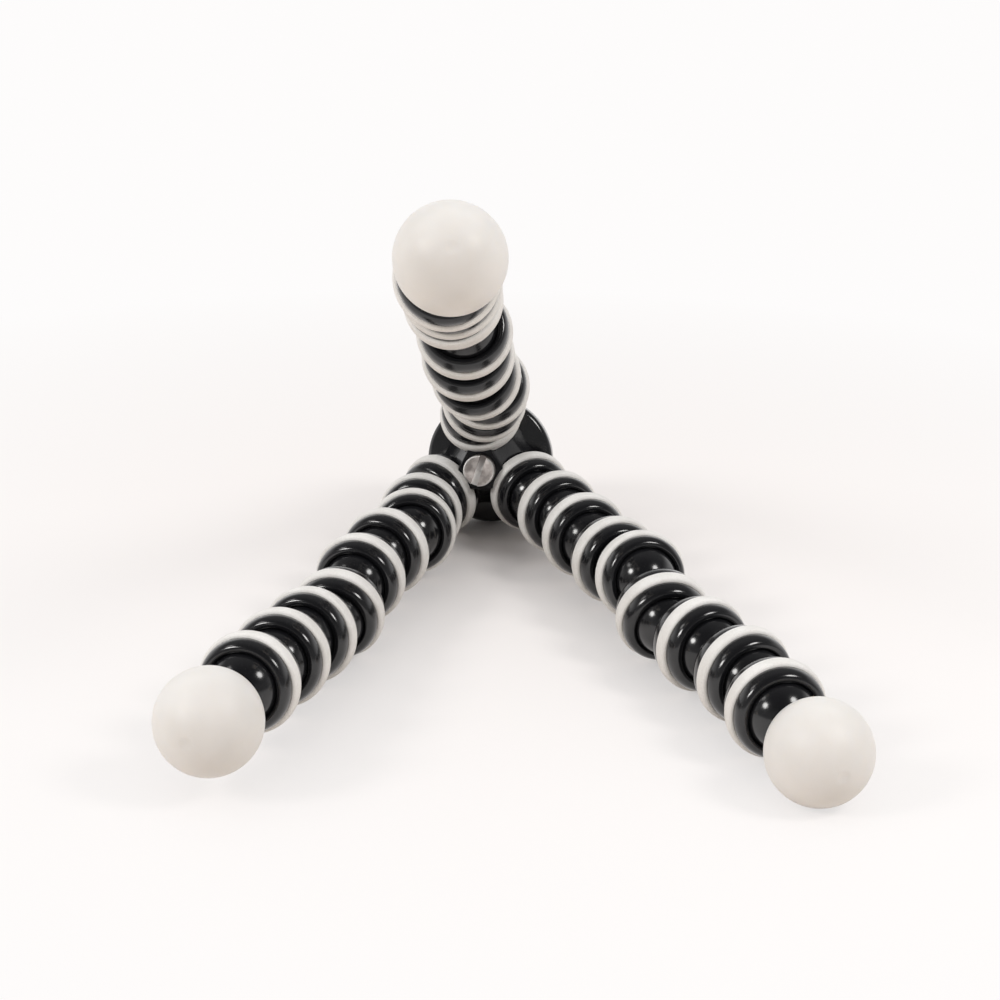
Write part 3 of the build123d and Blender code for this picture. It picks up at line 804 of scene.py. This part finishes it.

# %% [markdown]
# The feet are milky: light goes some way into them before it comes back. Subsurface scattering
# with a radius of a few millimetres does that. The dark core showing through is painted shade:
# a faint warmer colour wherever we look straight into the ball, put there by Layer Weight's Facing
# from every side. Their skin is smoother than the rings, with a soft broad shine.

# %% Milky foot rubber
milky, tree, shader = new_finish(
    "milky foot rubber", (0.80, 0.778, 0.752), 0.42, Subsurface_Weight=0.5, IOR=1.42,
)
shader.inputs["Subsurface Radius"].default_value = (1.0, 0.92, 0.8)
shader.inputs["Subsurface Scale"].default_value = 4.0 * MM
cloud = use_group(tree, grain, Scale=1500.0, Broad=60.0)
lint = use_group(tree, specks, Scale=1100.0, Amount=0.08)
cloudy = spread(tree, cloud.outputs["Mottle"], 0.0, 1.0)
skin_tint = mix_colours(tree, cloudy, (0.785, 0.765, 0.74), (0.825, 0.807, 0.788))
# The core colour is painted shade: darker and warmer, and Facing puts it where we look straight in.
painted_core_shade = mix_colours(tree, cloudy, (0.75, 0.724, 0.697), (0.795, 0.773, 0.752))
edge_on = tree.nodes.new("ShaderNodeLayerWeight")
edge_on.inputs["Blend"].default_value = 0.5
towards_edge = spread(tree, edge_on.outputs["Facing"], 0.0, 1.0, start=0.0, end=0.4)
tint = mix_colours(tree, towards_edge, painted_core_shade, skin_tint)
linty = math_node(tree, "MULTIPLY", lint.outputs["Mask"], 0.18)
tree.links.new(mix_colours(tree, linty, tint, (0.45, 0.42, 0.38)), shader.inputs["Base Color"])
tree.links.new(spread(tree, cloud.outputs["Mottle"], 0.38, 0.47), shader.inputs["Roughness"])
add_bump(tree, shader, cloud.outputs["Height"], 0.12, 0.06 * MM)
give(milky, feet)

# %% [markdown]
# The pad is hidden in the photograph. Such pads are dull black rubber, so this one has no gloss,
# a coarse grain and slightly greyer patches where cameras have stood.

# %% Black pad rubber
pad_black, tree, shader = new_finish("black pad rubber", (0.02, 0.02, 0.02), 0.75)
pad_grit = use_group(tree, grain, Scale=2200.0, Broad=120.0)
pad_mottle = pad_grit.outputs["Mottle"]
worn_pad = mix_colours(tree, pad_mottle, (0.014, 0.014, 0.014), (0.03, 0.029, 0.028))
tree.links.new(worn_pad, shader.inputs["Base Color"])
add_bump(tree, shader, pad_grit.outputs["Height"], 0.4, 0.08 * MM)
give(pad_black, [pad])

# %% [markdown]
# The screw is turned steel that has been handled for years. Its face is a warm mottled grey with
# faint rings round its centre, and its rim is painted brighter, partly a polished edge and partly a
# painted highlight. A Mapping node moves the Object coordinates onto the screw's own axis, and a
# ring-shaped Wave texture then follows the turning marks. The marks also stretch the highlights, so
# the shine is anisotropic round that axis. The slot is painted too: a painted highlight at one end,
# fading to painted shade in the recess towards the other.

# %% Turned steel and its marks
steel, tree, shader = new_finish("turned steel", (0.5, 0.46, 0.44), 0.38, Metallic=1.0)
place = tree.nodes.new("ShaderNodeTexCoord")
to_axis = tree.nodes.new("ShaderNodeMapping")
to_axis.vector_type = "TEXTURE"
to_axis.inputs["Location"].default_value = hub_seat.to_translation()
to_axis.inputs["Rotation"].default_value = hub_seat.to_euler()
tree.links.new(place.outputs["Object"], to_axis.inputs["Vector"])
rings = tree.nodes.new("ShaderNodeTexWave")
rings.wave_type = "RINGS"
rings.rings_direction = "Z"
rings.inputs["Scale"].default_value = 900.0
rings.inputs["Distortion"].default_value = 1.5
tree.links.new(to_axis.outputs["Vector"], rings.inputs["Vector"])
add_bump(tree, shader, rings.outputs["Fac"], 0.25, 0.02 * MM)

# %% A helper for vectors
def vector_node(tree, operation, first, second=None):
    """A Vector Math node whose inputs are vectors or sockets, and its result, vector or number."""
    node = tree.nodes.new("ShaderNodeVectorMath")
    node.operation = operation
    for index, value in enumerate((first, second)):
        if value is None:
            continue
        if isinstance(value, bpy.types.NodeSocket):
            tree.links.new(value, node.inputs[index])
        else:
            node.inputs[index].default_value = value
    return node.outputs["Value" if operation in ("LENGTH", "DOT_PRODUCT") else "Vector"]


# %% The colours of the steel
patina = use_group(tree, grain, Scale=1800.0, Broad=520.0)
stained = spread(tree, patina.outputs["Mottle"], 0.0, 1.0, start=0.4, end=0.62)
face = mix_colours(tree, stained, (0.64, 0.58, 0.55), (0.9, 0.84, 0.808))
on_screw = to_axis.outputs["Vector"]
off_axis = vector_node(tree, "LENGTH", vector_node(tree, "MULTIPLY", on_screw, (1, 1, 0)))
# The brighter rim colour is partly a polished edge and partly a painted highlight.
rim = spread(tree, off_axis, 0.0, 1.0, start=4.2 * MM, end=4.5 * MM)
polished = mix_colours(tree, rim, face, (0.92, 0.895, 0.875))
# The slot's colour is painted: a painted highlight at one end, fading to painted shade in the recess.
slot_heading = (math.cos(SLOT_ANGLE), math.sin(SLOT_ANGLE), 0)
along_slot = vector_node(tree, "DOT_PRODUCT", on_screw, slot_heading)
slot_highlight_to_shade = spread(tree, along_slot, 0.0, 1.0, start=-0.5 * MM, end=4.0 * MM)
slot_painted_highlight_and_shade = mix_colours(tree, slot_highlight_to_shade, (1.0, 0.98, 0.96), (0.3, 0.27, 0.262))
depth = vector_node(tree, "DOT_PRODUCT", on_screw, (0, 0, 1))
slot_edge, slot_inside = (HEAD_FOOT + 0.1) * MM, (HEAD_FOOT + 0.7) * MM
below_face = spread(tree, depth, 0.0, 1.0, start=slot_edge, end=slot_inside)
tree.links.new(mix_colours(tree, below_face, polished, slot_painted_highlight_and_shade), shader.inputs["Base Color"])

# %% The shine of the steel
from_centre = vector_node(tree, "SUBTRACT", place.outputs["Object"], hub_centre)
round_axis = vector_node(tree, "CROSS_PRODUCT", stud_axis, from_centre)
tree.links.new(round_axis, shader.inputs["Tangent"])
shader.inputs["Anisotropic"].default_value = 0.6
tree.links.new(spread(tree, patina.outputs["Mottle"], 0.36, 0.55), shader.inputs["Roughness"])
give(steel, [screw, thread])

# %% [markdown]
# The spring ring that keeps the screw in the plate is shown by its own CAD node, because it is
# small, plain and hidden. It is oiled steel, greyer than the screw. Every other CAD node is hidden
# behind a modelled piece, but it is still there for other scenes, so all nodes get the finish of
# their kind.

# %% Spring steel
spring, tree, shader = new_finish("spring steel", (0.3, 0.3, 0.31), 0.4, Metallic=1.0)
oiled = use_group(tree, grain, Scale=1500.0, Broad=400.0)
oily = mix_colours(tree, oiled.outputs["Mottle"], (0.2, 0.2, 0.205), (0.36, 0.36, 0.37))
tree.links.new(oily, shader.inputs["Base Color"])
print("made", spring.name)

# %% Finishes on the CAD nodes
node_finishes = {
    "black_moulding": black, "grip_rubber": pale, "foot_rubber": milky,
    "pad_rubber": pad_black, "screw_steel": steel, "ring_steel": spring,
}
for slot, finish in node_finishes.items():
    parts = [part for part in frame["record"]["subparts"] if part["material_slot"] == slot]
    give(finish, [frame["nodes"][part["node"]] for part in parts])

# %% [markdown]
# ## The studio
#
# The photograph has a warm white table that melts into a white wall. One large floor is enough.
# Under the hub it is a plain pale surface that keeps the shadows. Farther out it fades into an
# even near-white, but only for what the camera and the reflections see, by the Light Path node, so
# that the fade throws no light on the tripod. The light that bounces from the table is a little
# darker and warmer than the table looks. The world is white above the horizon for the camera, and
# its light comes from above and from the wall on the far side. What the pieces reflect is white
# over the table's far side, and a dim room on the near side and overhead, which keeps the glossy
# black deep.

# %% The floor
UNDER_HUB = (0, 0.085, 0)
FADE_FROM, FADE_TO, FADE_POWER = 0.015, 0.34, 0.7
deselect_everything()
bpy.ops.mesh.primitive_plane_add(size=12, location=(0, 4, 0))
floor = bpy.context.object
floor.name = "studio_floor"
floor_white, tree, shader = new_finish(
    "warm white table", (0.93, 0.905, 0.885), 0.8, Specular_IOR_Level=0.2,
)
give(floor_white, [floor])

# %% Which rays see the even white
def direct_rays(tree):
    """1 for the rays of the camera and through glass, and 0 for all others."""
    rays = tree.nodes.new("ShaderNodeLightPath").outputs
    return math_node(tree, "MAXIMUM", rays["Is Camera Ray"], rays["Is Transmission Ray"])


def seen_rays(tree):
    """1 for the rays of the camera, of reflections and through glass, and 0 for all others."""
    rays = tree.nodes.new("ShaderNodeLightPath").outputs
    return math_node(tree, "MAXIMUM", direct_rays(tree), rays["Is Glossy Ray"])


# %% Fade the floor
spot_seen = tree.nodes.new("ShaderNodeNewGeometry").outputs["Position"]
away = vector_node(tree, "LENGTH", vector_node(tree, "SUBTRACT", spot_seen, UNDER_HUB))
where = tree.nodes.new("ShaderNodeSeparateXYZ")
tree.links.new(spot_seen, where.inputs[0])
fade = spread(tree, away, 0.0, 1.0, start=FADE_FROM, end=FADE_TO)
table = mix_colours(tree, seen_rays(tree), (0.76, 0.69, 0.63), (0.93, 0.885, 0.868))
tree.links.new(table, shader.inputs["Base Color"])
near_white = tree.nodes.new("ShaderNodeEmission")
near_white.inputs["Color"].default_value = (0.985, 0.972, 0.968, 1)
reflected = spread(tree, where.outputs["Y"], 0.3, 1.0, start=-0.6, end=-0.2)
brightness = math_node(tree, "MAXIMUM", reflected, direct_rays(tree))
tree.links.new(brightness, near_white.inputs["Strength"])
faded_table = tree.nodes.new("ShaderNodeMixShader")
faded = math_node(tree, "POWER", fade, FADE_POWER)
tree.links.new(math_node(tree, "MULTIPLY", faded, seen_rays(tree)), faded_table.inputs[0])
tree.links.new(shader.outputs[0], faded_table.inputs[1])
tree.links.new(near_white.outputs[0], faded_table.inputs[2])
tree.links.new(faded_table.outputs[0], tree.nodes["Material Output"].inputs["Surface"])
print("the floor is even white from", FADE_TO, "m away")

# %% The world that lights the tripod
world = bpy.data.worlds.new("studio")
bpy.context.scene.world = world
world.use_nodes = True
sky = world.node_tree
lamp_sky = sky.nodes["Background"]
lamp_sky.inputs["Color"].default_value = (1.0, 0.985, 0.97, 1)
heading = sky.nodes.new("ShaderNodeTexCoord")
heights = sky.nodes.new("ShaderNodeSeparateXYZ")
sky.links.new(heading.outputs["Generated"], heights.inputs[0])
from_above = spread(sky, heights.outputs["Z"], 0.30, 0.80, start=0.2, end=0.68)
from_wall = spread(sky, heights.outputs["Y"], 0.0, 0.82, start=0.0, end=0.6)
sky.links.new(math_node(sky, "MAXIMUM", from_above, from_wall), lamp_sky.inputs["Strength"])

# %% The world that is seen and reflected
seen_sky = sky.nodes.new("ShaderNodeBackground")
seen_sky.inputs["Color"].default_value = (1.0, 0.99, 0.985, 1)
overhead = spread(sky, heights.outputs["Z"], 1.0, 0.2, start=0.26, end=0.54)
near_side = spread(sky, heights.outputs["Y"], 0.25, 1.0, start=-0.3, end=0.3)
reflected = math_node(sky, "MULTIPLY", overhead, near_side)
sky.links.new(math_node(sky, "MAXIMUM", reflected, direct_rays(sky)), seen_sky.inputs["Strength"])
blend = sky.nodes.new("ShaderNodeMixShader")
sky.links.new(seen_rays(sky), blend.inputs[0])
sky.links.new(lamp_sky.outputs[0], blend.inputs[1])
sky.links.new(seen_sky.outputs[0], blend.inputs[2])
sky.links.new(blend.outputs[0], sky.nodes["World Output"].inputs["Surface"])
print("the world has", len(sky.nodes), "nodes")

# %% [markdown]
# Each black ball shows two round highlights, a larger one on the left and a dimmer one on the
# right. Where they sit on the balls tells where the lamps stand: the left lamp is low and far, the
# right one higher and near. A fainter spot above the left highlight comes from a weak third lamp.

# %% The lamps
LAMP_AIM = (0, 0, 0.03)
LAMP_WHITE = (1.0, 0.985, 0.965)


def round_lamp(name, place, size, power):
    """A round soft lamp that faces the middle of the tripod."""
    data = bpy.data.lights.new(name, "AREA")
    data.shape = "DISK"
    data.size = size
    data.energy = power
    data.color = LAMP_WHITE
    lamp = bpy.data.objects.new(name, data)
    lamp.location = place
    lamp.rotation_euler = (Vector(LAMP_AIM) - Vector(place)).to_track_quat("-Z", "Y").to_euler()
    bpy.context.scene.collection.objects.link(lamp)


round_lamp("left lamp", (-1.02, -0.63, 0.77), size=0.38, power=5.7)
round_lamp("right lamp", (0.47, -0.30, 0.54), size=0.22, power=1.6)
round_lamp("faint lamp", (-1.00, -0.10, 1.01), size=0.34, power=0.8)
print("lamps:", [light.name for light in bpy.data.lights])

# %% [markdown]
# The camera stands in front of the raised foot and looks down by about 18.5 degrees. Its place,
# turn, small roll and long lens come from fitting the picture's ring outlines to the model.

# %% The camera
CAMERA_PLACE = (-0.01097, -0.54711, 0.22334)
LOOKS_DOWN, LOOKS_RIGHT, ROLL = 18.52, 0.83, 1.06
LENS_MM, SENSOR_MM = 77.8, 36.0
camera_data = bpy.data.cameras.new("camera")
camera_data.sensor_width = SENSOR_MM
camera_data.lens = LENS_MM
camera = bpy.data.objects.new("camera", camera_data)
look = Euler((math.radians(90 - LOOKS_DOWN), 0, math.radians(-LOOKS_RIGHT))).to_matrix()
rolled = look @ Matrix.Rotation(math.radians(ROLL), 3, "Z")
camera.matrix_world = Matrix.Translation(CAMERA_PLACE) @ rolled.to_4x4()
bpy.context.scene.collection.objects.link(camera)
bpy.context.scene.camera = camera
bpy.context.scene.view_settings.view_transform = "Standard"
print("the camera looks down by", LOOKS_DOWN, "degrees through a lens of", LENS_MM, "mm")
